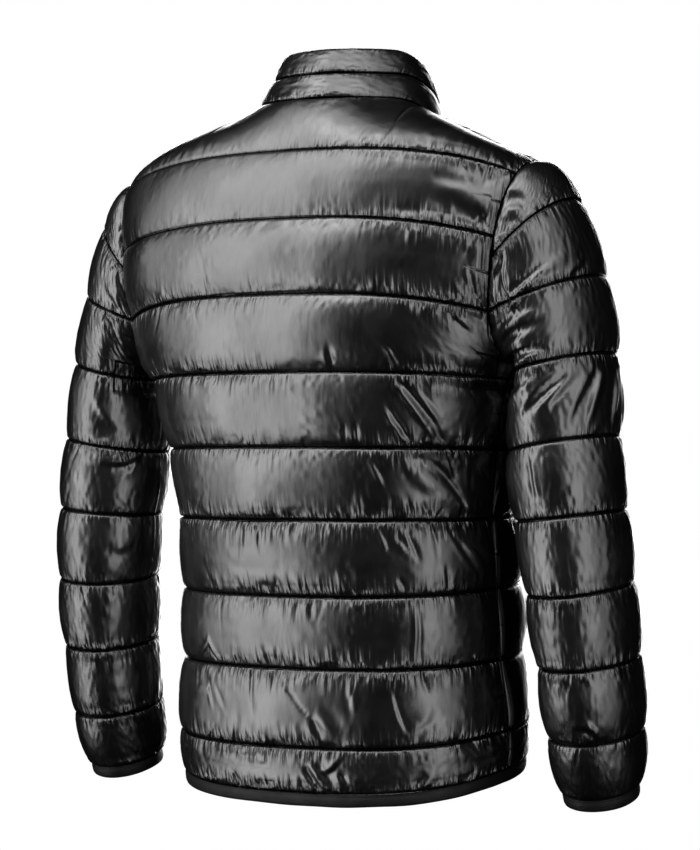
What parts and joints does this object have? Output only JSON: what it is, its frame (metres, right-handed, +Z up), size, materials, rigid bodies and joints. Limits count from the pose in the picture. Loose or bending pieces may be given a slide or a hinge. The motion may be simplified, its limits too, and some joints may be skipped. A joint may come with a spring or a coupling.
{
  "type": "puffer jacket",
  "caption": "Quilted puffer jacket with stand collar, long sleeves, bound hem and cuffs, and a full-length front zip whose pull tab hinges.",
  "frame": {"origin": "on the wearer's shoulders: middle of the body, level with the neck seam at the centre back", "axes": "+Z up, -Y out of the front with the zip, +X to the wearer's left"},
  "size_m": [0.6624, 0.2853, 0.7372],
  "materials": {
    "shell": "glossy coated black nylon, quilted",
    "binding": "matte black folded stretch tape",
    "zip_tape": "matte black woven tape",
    "zip_coil": "black nylon coil",
    "zip_metal": "black enamelled die-cast metal"
  },
  "bodies": {
    "jacket": {"back": "shell", "front_left": "shell", "front_right": "shell", "sleeve_left": "shell", "sleeve_right": "shell", "collar": "shell", "hem_binding": "binding", "cuff_binding_left": "binding", "cuff_binding_right": "binding", "zip_tape_left": "zip_tape", "zip_tape_right": "zip_tape", "zip_chain": "zip_coil", "zip_slider": "zip_metal"},
    "zip_pull": {"zip_pull": "zip_metal"}
  },
  "joints": [
    {"name": "zip_pull_hinge", "type": "hinge", "parent": "jacket", "child": "zip_pull", "pos_m": [0, -0.1012, -0.02016], "axis": [-1, 0, 0], "range_deg": [0, 165]}
  ]
}
